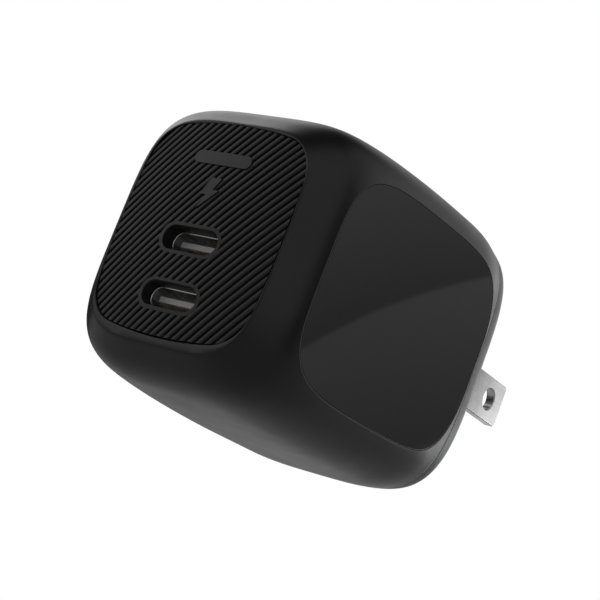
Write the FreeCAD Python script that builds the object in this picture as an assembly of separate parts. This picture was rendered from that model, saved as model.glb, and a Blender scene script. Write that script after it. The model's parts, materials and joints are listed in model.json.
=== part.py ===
import FreeCAD, Part
import math
import os
from FreeCAD import Vector

# Folding-prong wall charger with two USB-C ports, in millimetres.
# +X is the right-hand side seen from the ports, +Y points into the wall, +Z is up.
# The origin is the middle of the plug: midway between the two prongs, on the wall face.

# ---------- outer body ----------
BODY_DEPTH = 52.9            # from the plane of the front rim to the wall face
CAP_DEPTH = 10.1             # the rear cap is the last part of that depth
FLAT_X = 16.85               # the glossy side flats stand this far from the middle
WALL = 2.0                   # thickness of the main shell
CAP_WALL = 1.8               # thickness of the cap's wall face
TONGUE_DEPTH = 2.0           # the cap's tongue reaches this far into the main shell
TONGUE_GAP = 0.05
TONGUE_WALL = 1.0
TONGUE_ROOT = 0.6            # its root is sunk this far into the cap's wall
MID_Z_FRONT = -2.6           # middle height of the body at the front rim
MID_Z_BACK = -1.25           # and at the wall face
POWER_FRONT = 4.2            # squareness of the rounded-square section
POWER_BACK = 3.85
# (distance behind the front rim, half width, half height)
STATIONS = [
    (0.0, 13.15, 14.75),
    (1.2, 14.45, 15.8),
    (2.6, 15.9, 17.0),
    (5.0, 17.1, 18.2),
    (8.5, 17.8, 18.85),
    (13.5, 18.15, 19.3),
    (20.0, 18.2, 19.65),
    (27.0, 18.2, 19.8),
    (34.0, 18.1, 19.8),
    (40.0, 17.4, 19.65),
    (43.0, 16.78, 19.2),
    (45.0, 16.35, 18.75),
    (47.5, 14.4, 17.95),
    (50.4, 12.0, 17.1),
    (52.9, 8.75, 16.0),
]
SECTION_POINTS = 48

# ---------- front panel and side flats ----------
PANEL_HALF_W = 12.85
PANEL_HALF_H = 14.0
PANEL_CORNER_X = 7.3         # centres of the panel's corner arcs
PANEL_CORNER_Z = 8.28
PANEL_CORNER_R = 5.2
PANEL_MID_Z = -2.2
PANEL_THICK = 1.6            # at its edge
PANEL_DOME = 1.05            # how far the middle stands out beyond the edge
PANEL_SEAT = 1.7             # depth of the seat behind the front rim
PANEL_GAP = 0.1
FRONT_WALL = 1.8
RIB_PITCH = 0.91
RIB_ANGLE = 52.0             # degrees, ribs climb to the right
GROOVE_WIDTH = 0.46
GROOVE_DEPTH = 0.3
GROOVE_FLOOR = 0.2           # least plastic left behind a groove
PORT_BORDER = 0.55           # smooth collar round each port
MARK_RISE = 0.15             # raised marks stand this far out of the ribs
BAR_W = 9.0
BAR_H = 1.7
BAR_ABOVE = 9.2              # bar and bolt above the panel's middle
BOLT_ABOVE = 4.6
BOLT_OUTLINE = [(-0.3, 2.0), (1.3, 2.0), (0.5, 0.4), (1.5, 0.4), (-0.9, -2.2), (-0.2, -0.3), (-1.2, -0.3)]
INLAY_THICK = 0.8
INLAY_MARGIN = 0.1           # matte edge left between the inlay and the flat's edge
INLAY_GAP = 0.04
OUTLINE_POINTS = 64

# ---------- USB-C receptacles ----------
PORT_Z = {"upper": -3.9, "lower": -11.2}
PORT_OPENING_W = 8.6         # in the front of the panel, room for a plug's 8.25 x 2.4 shell
PORT_OPENING_H = 3.0
PORT_HOLE_W = 9.3            # behind it, room for the receptacle
PORT_HOLE_H = 3.5
PORT_STEP = 0.15             # the wider hole starts this far in front of the receptacle
USB_OUTER_W = 8.94
USB_OUTER_H = 3.16
USB_INNER_W = 8.34
USB_INNER_H = 2.56
USB_LENGTH = 6.65
USB_LIP_SET_BACK = 1.2       # the lip sits this far behind the front rim plane
USB_BACK_WALL = 0.3
BLADE_W = 6.69               # the receptacle's own tongue
BLADE_THICK = 0.7
BLADE_LENGTH = 4.45
BLADE_ROOT = 1.3             # thicker block behind it
ROOT_GAP = 0.04
CONTACT_PITCH = 0.5
CONTACTS_PER_SIDE = 12
CONTACT_W = 0.26
CONTACT_THICK = 0.05
CONTACT_LENGTH = 3.9

# ---------- prongs and their rotor ----------
PRONG_X = 6.35               # blade centre, 12.7 between the two
PRONG_W = 6.35
PRONG_THICK = 1.5
PRONG_LENGTH = 15.9          # beyond the wall face
PRONG_HOLE_R = 1.6
PRONG_HOLE_Y = 11.9
PRONG_TIP_CHAMFER = 0.4
PRONG_EDGE_CHAMFER = 0.3
NECK_W = 4.0                 # the blade is narrower where it enters the rotor
SHOULDER_Y = 0.15
ROOT_CLEARANCE = 0.4         # the root stands clear of the pin by this much
PIVOT_Y = -2.7
PIVOT_Z = -1.1
ROTOR_R = 2.4
ROTOR_HALF = 8.0
ROTOR_GAP = 0.2
PIN_R = 0.75
PIN_CLEARANCE = 0.05
PIN_HALF = 9.6
PIN_END_GAP = 0.1
CHEEK_HALF = 9.9             # outside of the bearing cheeks
SLOT_GAP = 0.3
WELL_WALL = 1.2
PRONG_ROOM_Y = -7.2          # depth of the wells that take the folded prongs
WINDOW_HALF = 2.1            # half height of the rotor's window in the wall face
TROUGH_WALL = 1.4            # plastic round the rotor's bore
SPRING_ROOM = 0.75           # depth of the pocket under the rotor
SPRING_HALF_W = 2.4
SPRING_BACK_Y = -6.3
SPRING_FRONT_Y = -1.8
SPRING_LEAF = 0.3            # thickness of the leaf and radius of its bump
SPRING_GAP = 0.05
SPRING_SIDE_GAP = 0.2
NOTCH_R = 0.35
RETAINER_Y = -6.5
RETAINER_THICK = 1.0
LEAF_THICK = 0.3
LEAF_GAP = 0.08
LEAF_HALF_W = 1.2
LEAF_HEAD = 1.8              # the leaf reaches this far above the pivot
LEAF_FOOT = 2.0              # and its tail runs this far below
LEAF_TAIL_Y = -9.6
LEAD_START_Y = -9.2
RETAINER_GAP = 0.1
LEAD_R = 0.65
LEAD_BEND = 2.0
LEAD_RISE_Y = -12.8          # where the lead turns up to the input board

# ---------- boards and electronics ----------
FLOOR_BOARD_Z = -16.4
BOARD_THICK = 1.6
THIN_BOARD = 1.2
BOARD_HALF_W = 12.0
BOARD_FRONT_Y = -43.2
FLOOR_BOARD_BACK_Y = -13.5
INPUT_BOARD_Z = 3.6
INPUT_BOARD_BACK_Y = -12.5
PORT_BOARD_HALF_W = 12.2
PORT_BOARD_LOW = -14.6
PORT_BOARD_HIGH = 2.0
SHEET_HALF_W = 12.4
SHEET_BACK_Y = -14.0
SHEET_THICK = 0.3
SHEET_GAP = 0.2              # clear of the input board
SPREADER_X = 13.6
SPREADER_THICK = 0.6
SPREADER_FOOT = 1.2
SPREADER_SPAN_Y = (-42.0, -14.5)
SPREADER_SPAN_Z = (-12.5, 9.5)
PAD_SPAN_Y = (-34.0, -19.0)
PAD_SPAN_Z = (-11.0, 2.0)
PAD_GAP = 0.05
TRAFO_X = -3.4
TRAFO_Y = -27.0
TRAFO_Z = FLOOR_BOARD_Z + BOARD_THICK
TRAFO_W = 16.0
TRAFO_D = 15.0
TRAFO_H = 16.0
TRAFO_PINS = 1.5             # the core stands this far above the board
CORE_SET_IN = 1.5
CORE_PLATE = 2.2
CORE_LEG = 1.8
MIDDLE_LEG_R = 3.4
BOBBIN_R = 6.1
BOBBIN_FLANGE = 0.8
BOBBIN_TUBE = 0.9
LEG_GAP = 0.1
WINDING_R = 5.9
CAN_X = 8.3                  # spacing of the bulk capacitors
CAN_R = 4.0
CAN_LENGTH = 19.0
CAN_BASE_Y = -22.5
CAN_ABOVE_BOARD = 4.1
SMALL_CAN_X = 8.2
SMALL_CAN_Y = -39.4
SMALL_CAN_R = 3.15
SMALL_CAN_LENGTH = 9.0
CAN_GROOVE_AT = 2.0
CAN_GROOVE_W = 0.6
CAN_GROOVE_DEPTH = 0.35
CHOKE_X = -6.6               # left face of the ring core
CHOKE_Y = -17.2
CHOKE_Z = INPUT_BOARD_Z + THIN_BOARD + 5.4
CHOKE_R = 4.6
CHOKE_INNER_R = 2.3
CHOKE_THICK = 4.6
WIRE = 0.6                   # thickness of the choke's winding
GATHER = 1.0                 # half the space between its two windings

RIM_Y = -BODY_DEPTH
SPLIT_Y = -CAP_DEPTH
SEAT_Y = RIM_Y + PANEL_SEAT
PANEL_EDGE_Y = SEAT_Y - PANEL_THICK
USB_LIP_Y = RIM_Y + USB_LIP_SET_BACK
USB_BACK_Y = USB_LIP_Y + USB_LENGTH
PRONG_IN = PRONG_X - PRONG_THICK / 2
PRONG_OUT = PRONG_X + PRONG_THICK / 2
OVERRUN = 1.0                # a cutting shape runs this far past the face it opens
IN_FRONT = RIM_Y - 4         # a plane in front of everything
FAR = 40.0                   # further out than any part of the body
SAME = 0.001                 # lengths closer than this are equal
ALONG_X = Vector(1, 0, 0)
ALONG_Y = Vector(0, 1, 0)
ALONG_Z = Vector(0, 0, 1)


# ---------- helpers ----------
def box(x0, x1, y0, y1, z0, z1):
    """A block between two corners."""
    return Part.makeBox(x1 - x0, y1 - y0, z1 - z0, Vector(x0, y0, z0))


def rod(radius, length, start, direction):
    return Part.makeCylinder(radius, length, start, direction)


def joined(shapes):
    """One solid from several that touch or overlap."""
    whole = shapes[0]
    for shape in shapes[1:]:
        whole = whole.fuse(shape)
    return whole.removeSplitter()


def both_sides(shape):
    """The shape and its mirror image in the plane X = 0."""
    return [shape, shape.mirror(Vector(0, 0, 0), ALONG_X)]


def section_mid_z(distance):
    return MID_Z_FRONT + (MID_Z_BACK - MID_Z_FRONT) * distance / BODY_DEPTH


def section_power(distance):
    return POWER_FRONT + (POWER_BACK - POWER_FRONT) * distance / BODY_DEPTH


def rounded_square(half_w, half_h, power, y, mid_z):
    """Closed superellipse wire in the plane at y, in a lower and an upper half."""
    points = []
    for i in range(SECTION_POINTS):
        angle = 2 * math.pi * i / SECTION_POINTS
        c = math.cos(angle)
        s = math.sin(angle)
        reach = (abs(c / half_w) ** power + abs(s / half_h) ** power) ** (-1 / power)
        points.append(Vector(reach * c, y, mid_z + reach * s))
    curve = Part.BSplineCurve()
    curve.interpolate(Points=points, PeriodicFlag=True)
    first = curve.FirstParameter
    last = curve.LastParameter
    middle = (first + last) / 2
    return Part.Wire([curve.toShape(first, middle), curve.toShape(middle, last)])


def body_form(inset, y0, y1):
    """The body's outer form drawn in by inset, with flat sides, between two planes."""
    wires = []
    for distance, half_w, half_h in STATIONS:
        power = section_power(distance)
        mid_z = section_mid_z(distance)
        wires.append(rounded_square(half_w - inset, half_h - inset, power, RIM_Y + distance, mid_z))
    side = FLAT_X - inset
    return Part.makeLoft(wires, True, False).common(box(-side, side, y0, y1, -FAR, FAR))


def stadium(width, height, y0, y1, mid_z):
    """A bar along Y with round ends left and right."""
    r = height / 2
    reach = width / 2 - r
    middle = box(-reach, reach, y0, y1, mid_z - r, mid_z + r)
    ends = [rod(r, y1 - y0, Vector(x, y0, mid_z), ALONG_Y) for x in (-reach, reach)]
    return joined([middle] + ends)


def bow_centre(reach, across, along, corner_r):
    """Centre of the bow that passes reach from the middle and touches the corner circle."""
    gap = reach - across
    radius = (gap ** 2 + along ** 2 - corner_r ** 2) / (2 * (gap - corner_r))
    return reach - radius


def bowed_outline(grow, y):
    """The panel's outline in the plane at y: bowed sides joined by tangent corner arcs."""
    half_w = PANEL_HALF_W + grow
    half_h = PANEL_HALF_H + grow
    corner_r = PANEL_CORNER_R + grow
    corner = Vector(PANEL_CORNER_X, 0, PANEL_CORNER_Z)
    side = bow_centre(half_w, corner.x, corner.z, corner_r)
    crown = bow_centre(half_h, corner.z, corner.x, corner_r)
    to_side = (corner - Vector(side, 0, 0)).normalize()
    to_crown = (corner - Vector(0, 0, crown)).normalize()
    side_end = corner + to_side * corner_r
    crown_end = corner + to_crown * corner_r
    corner_mid = corner + (to_side + to_crown).normalize() * corner_r
    quarter = [Vector(half_w, 0, 0), side_end, corner_mid, crown_end, Vector(0, 0, half_h)]
    back = quarter[::-1]
    loop = []
    for flip_x, flip_z, points in ((1, 1, quarter), (-1, 1, back), (-1, -1, quarter), (1, -1, back)):
        loop += [Vector(flip_x * p.x, y, PANEL_MID_Z + flip_z * p.z) for p in points[:-1]]
    loop = loop[-1:] + loop
    arcs = [Part.Arc(*loop[i:i + 3]).toShape() for i in range(0, len(loop) - 2, 2)]
    return Part.Wire(arcs)


def panel_prism(grow, y0, y1):
    return Part.Face(bowed_outline(grow, y0)).extrude(Vector(0, y1 - y0, 0))


def dome_ball(rise):
    """Large ball whose front surface is the panel's domed face, moved out by rise."""
    reach = (PANEL_HALF_W + PANEL_HALF_H) / 2
    radius = (reach ** 2 + PANEL_DOME ** 2) / (2 * PANEL_DOME)
    return Part.makeSphere(radius + rise, Vector(0, PANEL_EDGE_Y - PANEL_DOME + radius, PANEL_MID_Z))


# ---------- housing ----------
def flat_outline(body, margin):
    """Face on the body's right-hand flat, with its edge drawn in by about margin."""
    flat = min(body.Faces, key=lambda face: abs(face.CenterOfMass.x - FLAT_X))
    middle = flat.CenterOfMass
    points = []
    for point in flat.OuterWire.discretize(Number=OUTLINE_POINTS + 1)[:-1]:
        arm = point - middle
        points.append(point - arm * (margin / arm.Length))
    curve = Part.BSplineCurve()
    curve.interpolate(Points=points, PeriodicFlag=True)
    return Part.Face(Part.Wire([curve.toShape()]))


def side_inlay(body):
    inlay = flat_outline(body, INLAY_MARGIN + INLAY_GAP)
    return inlay.extrude(Vector(-INLAY_THICK, 0, 0))


def inlay_pocket(body):
    pocket = flat_outline(body, INLAY_MARGIN).extrude(Vector(-INLAY_THICK - OVERRUN, 0, 0))
    pocket.translate(Vector(OVERRUN, 0, 0))
    return pocket


def main_shell(body):
    front_y = SEAT_Y + FRONT_WALL
    hollows = [body_form(WALL, front_y, SPLIT_Y + OVERRUN), panel_prism(PANEL_GAP, IN_FRONT, SEAT_Y)]
    for z in PORT_Z.values():
        hollows.append(stadium(PORT_HOLE_W, PORT_HOLE_H, RIM_Y, front_y + OVERRUN, z))
    hollows += both_sides(inlay_pocket(body))
    shell = body
    for hollow in hollows:
        shell = shell.cut(hollow)
    return shell


def rib_grooves():
    """Slanted bars, one for each groove, that reach deeper than the domed face."""
    reach = math.hypot(PANEL_HALF_W, PANEL_HALF_H)
    count = int(reach / RIB_PITCH)
    bars = []
    for i in range(-count, count + 1):
        bar = box(-reach, reach, IN_FRONT, SEAT_Y - GROOVE_FLOOR, -GROOVE_WIDTH / 2, GROOVE_WIDTH / 2)
        bar.translate(Vector(0, 0, i * RIB_PITCH))
        bar.rotate(Vector(0, 0, 0), ALONG_Y, -RIB_ANGLE)
        bar.translate(Vector(0, 0, PANEL_MID_Z))
        bars.append(bar)
    return bars


def front_panel():
    """Domed plate with slanted grooves, left smooth round the two port openings."""
    panel = panel_prism(0, IN_FRONT, SEAT_Y).common(dome_ball(0))
    collar_w = PORT_OPENING_W + 2 * PORT_BORDER
    collar_h = PORT_OPENING_H + 2 * PORT_BORDER
    collars = [stadium(collar_w, collar_h, IN_FRONT, SEAT_Y, z) for z in PORT_Z.values()]
    grooves = Part.makeCompound(rib_grooves())
    grooves = grooves.cut(dome_ball(-GROOVE_DEPTH)).cut(joined(collars))
    panel = panel.cut(grooves)
    for z in PORT_Z.values():
        panel = panel.cut(stadium(PORT_OPENING_W, PORT_OPENING_H, IN_FRONT, SEAT_Y + OVERRUN, z))
        panel = panel.cut(stadium(PORT_HOLE_W, PORT_HOLE_H, USB_LIP_Y - PORT_STEP, SEAT_Y + OVERRUN, z))
    return panel


def panel_marks():
    """A plain bar and a lightning bolt, raised from the ribs: two separate solids."""
    bar = stadium(BAR_W, BAR_H, IN_FRONT, RIM_Y, PANEL_MID_Z + BAR_ABOVE)
    points = [Vector(x, IN_FRONT, PANEL_MID_Z + BOLT_ABOVE + z) for x, z in BOLT_OUTLINE]
    bolt = Part.Face(Part.makePolygon(points + points[:1])).extrude(Vector(0, RIM_Y - IN_FRONT, 0))
    lift = dome_ball(MARK_RISE)
    return Part.makeCompound([shape.common(lift).cut(dome_ball(0)) for shape in (bar, bolt)])


def prong_wells():
    """Blocks inside the cap: a well for each folded prong and the trough that carries the rotor."""
    side = SLOT_GAP + WELL_WALL
    well = box(PRONG_IN - side, PRONG_OUT + side, PRONG_ROOM_Y - WELL_WALL, OVERRUN, PIVOT_Z, FAR)
    reach = ROTOR_R + ROTOR_GAP + TROUGH_WALL
    trough = box(-CHEEK_HALF, CHEEK_HALF, RETAINER_Y, OVERRUN, PIVOT_Z - reach, PIVOT_Z + reach)
    return joined(both_sides(well) + [trough])


def rotor_room():
    """Everything open in the cap: slots, rotor bore, its way in, the window and the pin's bore."""
    slot = box(PRONG_IN - SLOT_GAP, PRONG_OUT + SLOT_GAP, PRONG_ROOM_Y, OVERRUN, PIVOT_Z, FAR)
    bore_r = ROTOR_R + ROTOR_GAP
    bore_half = ROTOR_HALF + ROTOR_GAP
    behind = PRONG_ROOM_Y - WELL_WALL - OVERRUN
    bore = rod(bore_r, 2 * bore_half, Vector(-bore_half, PIVOT_Y, PIVOT_Z), ALONG_X)
    way_in = box(-bore_half, bore_half, behind, PIVOT_Y, PIVOT_Z - bore_r, PIVOT_Z + bore_r)
    window = box(-bore_half, bore_half, PIVOT_Y, OVERRUN, PIVOT_Z - WINDOW_HALF, PIVOT_Z + WINDOW_HALF)
    pin_half = PIN_HALF + PIN_END_GAP
    pin_bore = rod(PIN_R + PIN_CLEARANCE, 2 * pin_half, Vector(-pin_half, PIVOT_Y, PIVOT_Z), ALONG_X)
    pocket_half = SPRING_HALF_W + SPRING_SIDE_GAP
    pocket_z = PIVOT_Z - ROTOR_R - SPRING_ROOM
    pocket_y = SPRING_FRONT_Y + SPRING_SIDE_GAP
    spring_pocket = box(-pocket_half, pocket_half, behind, pocket_y, pocket_z, PIVOT_Z)
    return joined(both_sides(slot) + [bore, way_in, window, pin_bore, spring_pocket])


def rear_cap():
    outer = body_form(0, SPLIT_Y, OVERRUN)
    inner = body_form(WALL, SPLIT_Y - OVERRUN, -CAP_WALL)
    cap = outer.cut(inner.cut(prong_wells())).cut(rotor_room())
    start_y = SPLIT_Y - TONGUE_DEPTH
    end_y = SPLIT_Y + TONGUE_ROOT
    tongue = body_form(WALL + TONGUE_GAP, start_y, end_y)
    root = body_form(WALL - TONGUE_ROOT, SPLIT_Y, end_y)
    tongue = tongue.fuse(root).cut(body_form(WALL + TONGUE_WALL, start_y, end_y))
    return cap.fuse(tongue)


# ---------- prongs ----------
def tip_edges(blade, across):
    """The edges at the blade's tip that run along X (across False) or along Z (across True)."""
    edges = [e for e in blade.Edges if abs(e.CenterOfMass.y - PRONG_LENGTH) < SAME]
    return [e for e in edges if (e.Length > PRONG_THICK + SAME) == across]


def prong_right():
    """Flat blade with chamfered tip corners, a hole, and a narrow root inside the rotor."""
    half = PRONG_W / 2
    blade = box(PRONG_IN, PRONG_OUT, SHOULDER_Y, PRONG_LENGTH, -half, half)
    blade = blade.makeChamfer(PRONG_TIP_CHAMFER, tip_edges(blade, False))
    blade = blade.makeChamfer(PRONG_EDGE_CHAMFER, tip_edges(blade, True))
    through = PRONG_THICK + 2 * OVERRUN
    blade = blade.cut(rod(PRONG_HOLE_R, through, Vector(PRONG_IN - OVERRUN, PRONG_HOLE_Y, 0), ALONG_X))
    low = PIVOT_Z - NECK_W / 2
    high = PIVOT_Z + NECK_W / 2
    root = box(PRONG_IN, PRONG_OUT, PIVOT_Y - ROTOR_R, SHOULDER_Y, low, high)
    root = root.common(rod(ROTOR_R, PRONG_THICK, Vector(PRONG_IN, PIVOT_Y, PIVOT_Z), ALONG_X))
    neck = root.fuse(box(PRONG_IN, PRONG_OUT, PIVOT_Y, SHOULDER_Y, low, high))
    pin_room = rod(PIN_R + ROOT_CLEARANCE, through, Vector(PRONG_IN - OVERRUN, PIVOT_Y, PIVOT_Z), ALONG_X)
    return joined([blade, neck.cut(pin_room)])


def prong_rotor():
    """Insulating rotor moulded round the blades' roots, bored for the pin, notched for the spring."""
    start = Vector(-ROTOR_HALF, PIVOT_Y, PIVOT_Z)
    rotor = rod(ROTOR_R, 2 * ROTOR_HALF, start, ALONG_X)
    for blade in both_sides(prong_right()):
        rotor = rotor.cut(blade)
    rotor = rotor.cut(rod(PIN_R, 2 * ROTOR_HALF, start, ALONG_X))
    notch_half = SPRING_HALF_W + SPRING_SIDE_GAP
    for y, z in ((PIVOT_Y - ROTOR_R, PIVOT_Z), (PIVOT_Y, PIVOT_Z - ROTOR_R)):
        rotor = rotor.cut(rod(NOTCH_R, 2 * notch_half, Vector(-notch_half, y, z), ALONG_X))
    return rotor


def pivot_pin():
    return rod(PIN_R, 2 * PIN_HALF, Vector(-PIN_HALF, PIVOT_Y, PIVOT_Z), ALONG_X)


def contact_leaf_right():
    """Bronze leaf that the root of the right blade meets when the prongs are out."""
    x0 = PRONG_X - LEAF_HALF_W
    x1 = PRONG_X + LEAF_HALF_W
    front_y = PIVOT_Y - ROTOR_R - LEAF_GAP
    foot_z = PIVOT_Z - LEAF_FOOT
    face = box(x0, x1, front_y - LEAF_THICK, front_y, foot_z, PIVOT_Z + LEAF_HEAD)
    tail = box(x0, x1, LEAF_TAIL_Y, front_y, foot_z - LEAF_THICK, foot_z)
    return joined([face, tail])


def pivot_retainer():
    """Plate that closes the way in behind the rotor and backs the contact leaves."""
    half = ROTOR_HALF + RETAINER_GAP
    z0 = PIVOT_Z - ROTOR_R - RETAINER_GAP
    z1 = PIVOT_Z + ROTOR_R - RETAINER_GAP
    plate = box(-half, half, RETAINER_Y, RETAINER_Y + RETAINER_THICK, z0, z1)
    notch_half = LEAF_HALF_W + RETAINER_GAP
    notch_top = PIVOT_Z - LEAF_FOOT + RETAINER_GAP
    x0 = PRONG_X - notch_half
    x1 = PRONG_X + notch_half
    notch = box(x0, x1, RETAINER_Y - OVERRUN, PIVOT_Y, z0 - OVERRUN, notch_top)
    for shape in both_sides(notch):
        plate = plate.cut(shape)
    return plate


def detent_spring():
    """Leaf under the rotor with a rounded bump facing the rotor's notch."""
    bump_z = PIVOT_Z - ROTOR_R - SPRING_GAP - SPRING_LEAF
    leaf_z = bump_z - SPRING_LEAF / 2
    leaf = box(-SPRING_HALF_W, SPRING_HALF_W, SPRING_BACK_Y, SPRING_FRONT_Y, leaf_z, leaf_z + SPRING_LEAF)
    bump = rod(SPRING_LEAF, 2 * SPRING_HALF_W, Vector(-SPRING_HALF_W, PIVOT_Y, bump_z), ALONG_X)
    return joined([leaf, bump])


def ac_lead_right():
    """Insulated lead from the contact leaf's tail up to the input board."""
    low_z = PIVOT_Z - LEAF_FOOT - LEAF_THICK - LEAD_R
    short = LEAD_BEND * (1 - math.sin(math.pi / 4))
    start = Vector(PRONG_X, LEAD_START_Y, low_z)
    bend_start = Vector(PRONG_X, LEAD_RISE_Y + LEAD_BEND, low_z)
    bend_middle = Vector(PRONG_X, LEAD_RISE_Y + short, low_z + short)
    bend_end = Vector(PRONG_X, LEAD_RISE_Y, low_z + LEAD_BEND)
    end = Vector(PRONG_X, LEAD_RISE_Y, INPUT_BOARD_Z)
    path = Part.Wire([
        Part.LineSegment(start, bend_start).toShape(),
        Part.Arc(bend_start, bend_middle, bend_end).toShape(),
        Part.LineSegment(bend_end, end).toShape(),
    ])
    ring = Part.Wire([Part.Circle(start, Vector(0, -1, 0), LEAD_R).toShape()])
    return path.makePipeShell([ring], True, False)


# ---------- USB-C receptacles ----------
def usb_shell(z):
    shell = stadium(USB_OUTER_W, USB_OUTER_H, USB_LIP_Y, USB_BACK_Y, z)
    return shell.cut(stadium(USB_INNER_W, USB_INNER_H, USB_LIP_Y - OVERRUN, USB_BACK_Y - USB_BACK_WALL, z))


def usb_tongue(z):
    """Tongue with its thicker root block at the back of the receptacle."""
    back_y = USB_BACK_Y - USB_BACK_WALL
    root_y = back_y - BLADE_ROOT
    root = stadium(USB_INNER_W - ROOT_GAP, USB_INNER_H - ROOT_GAP, root_y, back_y, z)
    half_w = BLADE_W / 2
    half_h = BLADE_THICK / 2
    return joined([root, box(-half_w, half_w, root_y - BLADE_LENGTH, root_y, z - half_h, z + half_h)])


def usb_contacts(z):
    """Twelve gold strips on each face of the tongue: separate solids."""
    root_y = USB_BACK_Y - USB_BACK_WALL - BLADE_ROOT
    strips = []
    for i in range(CONTACTS_PER_SIDE):
        x = (i - (CONTACTS_PER_SIDE - 1) / 2) * CONTACT_PITCH
        for low in (z + BLADE_THICK / 2, z - BLADE_THICK / 2 - CONTACT_THICK):
            x0 = x - CONTACT_W / 2
            strips.append(box(x0, x0 + CONTACT_W, root_y - CONTACT_LENGTH, root_y, low, low + CONTACT_THICK))
    return Part.makeCompound(strips)


# ---------- electronics ----------
def port_board():
    half = PORT_BOARD_HALF_W
    return box(-half, half, USB_BACK_Y, USB_BACK_Y + THIN_BOARD, PORT_BOARD_LOW, PORT_BOARD_HIGH)


def floor_board():
    half = BOARD_HALF_W
    return box(-half, half, BOARD_FRONT_Y, FLOOR_BOARD_BACK_Y, FLOOR_BOARD_Z, FLOOR_BOARD_Z + BOARD_THICK)


def input_board():
    half = BOARD_HALF_W
    return box(-half, half, BOARD_FRONT_Y, INPUT_BOARD_BACK_Y, INPUT_BOARD_Z, INPUT_BOARD_Z + THIN_BOARD)


def insulating_sheet():
    half = SHEET_HALF_W
    z1 = INPUT_BOARD_Z - SHEET_GAP
    return box(-half, half, BOARD_FRONT_Y, SHEET_BACK_Y, z1 - SHEET_THICK, z1)


def transformer_core():
    """Ferrite frame: top and bottom plates, two side legs and a round middle leg."""
    x0 = TRAFO_X - TRAFO_W / 2
    x1 = TRAFO_X + TRAFO_W / 2
    y0 = TRAFO_Y - TRAFO_D / 2 + CORE_SET_IN
    y1 = TRAFO_Y + TRAFO_D / 2 - CORE_SET_IN
    z0 = TRAFO_Z + TRAFO_PINS
    z1 = TRAFO_Z + TRAFO_H
    frame = box(x0, x1, y0, y1, z0, z1)
    opening = box(x0 + CORE_LEG, x1 - CORE_LEG, y0 - OVERRUN, y1 + OVERRUN, z0 + CORE_PLATE, z1 - CORE_PLATE)
    leg = rod(MIDDLE_LEG_R, z1 - z0, Vector(TRAFO_X, TRAFO_Y, z0), ALONG_Z)
    return joined([frame.cut(opening), leg])


def transformer_bobbin():
    """Spool round the middle leg, with two flanges."""
    z0 = TRAFO_Z + TRAFO_PINS + CORE_PLATE
    z1 = TRAFO_Z + TRAFO_H - CORE_PLATE
    centre = Vector(TRAFO_X, TRAFO_Y, z0)
    tube = rod(MIDDLE_LEG_R + BOBBIN_TUBE, z1 - z0, centre, ALONG_Z)
    low = rod(BOBBIN_R, BOBBIN_FLANGE, centre, ALONG_Z)
    high = rod(BOBBIN_R, BOBBIN_FLANGE, Vector(TRAFO_X, TRAFO_Y, z1 - BOBBIN_FLANGE), ALONG_Z)
    return joined([tube, low, high]).cut(rod(MIDDLE_LEG_R + LEG_GAP, z1 - z0, centre, ALONG_Z))


def transformer_winding():
    z0 = TRAFO_Z + TRAFO_PINS + CORE_PLATE + BOBBIN_FLANGE
    z1 = TRAFO_Z + TRAFO_H - CORE_PLATE - BOBBIN_FLANGE
    centre = Vector(TRAFO_X, TRAFO_Y, z0)
    inner = rod(MIDDLE_LEG_R + BOBBIN_TUBE, z1 - z0, centre, ALONG_Z)
    return rod(WINDING_R, z1 - z0, centre, ALONG_Z).cut(inner)


def can(radius, length, base, direction):
    """Electrolytic can with the rolled groove near its base."""
    body = rod(radius, length, base, direction)
    groove_at = base + direction * CAN_GROOVE_AT
    ring = rod(radius + OVERRUN, CAN_GROOVE_W, groove_at, direction)
    return body.cut(ring.cut(rod(radius - CAN_GROOVE_DEPTH, CAN_GROOVE_W, groove_at, direction)))


def bulk_capacitors():
    z = INPUT_BOARD_Z + THIN_BOARD + CAN_ABOVE_BOARD
    bases = [Vector(x, CAN_BASE_Y, z) for x in (-CAN_X, 0.0, CAN_X)]
    return Part.makeCompound([can(CAN_R, CAN_LENGTH, base, -ALONG_Y) for base in bases])


def output_capacitors():
    bases = [Vector(x, SMALL_CAN_Y, TRAFO_Z) for x in (-SMALL_CAN_X, 0.0, SMALL_CAN_X)]
    return Part.makeCompound([can(SMALL_CAN_R, SMALL_CAN_LENGTH, base, ALONG_Z) for base in bases])


def choke_ring(grow):
    """Ring about X, larger than the choke's core by grow on every face."""
    start = Vector(CHOKE_X - grow, CHOKE_Y, CHOKE_Z)
    length = CHOKE_THICK + 2 * grow
    return rod(CHOKE_R + grow, length, start, ALONG_X).cut(rod(CHOKE_INNER_R - grow, length, start, ALONG_X))


def choke_windings():
    """Turns of wire gathered on the upper and lower halves of the choke's ring."""
    coat = choke_ring(WIRE).cut(choke_ring(0))
    reach = CHOKE_R + OVERRUN
    x0 = CHOKE_X - OVERRUN
    x1 = CHOKE_X + CHOKE_THICK + OVERRUN
    halves = []
    for low in (CHOKE_Z + GATHER, CHOKE_Z - GATHER - reach):
        halves.append(coat.common(box(x0, x1, CHOKE_Y - reach, CHOKE_Y + reach, low, low + reach)))
    return Part.makeCompound(halves)


def rounded_block(corner, size, radius):
    """Box with its upper edges rounded; it stands on its flat underside."""
    block = Part.makeBox(*size, corner)
    return block.makeFillet(radius, [e for e in block.Edges if e.CenterOfMass.z > corner.z + SAME])


def x_capacitor():
    return rounded_block(Vector(1.2, -21.6, INPUT_BOARD_Z + THIN_BOARD), (5.4, 8.8, 8.6), 0.5)


def fuse():
    return rounded_block(Vector(8.2, -20.6, INPUT_BOARD_Z + THIN_BOARD), (3.4, 7.2, 6.8), 0.6)


def bridge_rectifier():
    return Part.makeBox(3.8, 8.0, 3.2, Vector(6.6, -33.5, TRAFO_Z))


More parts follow.
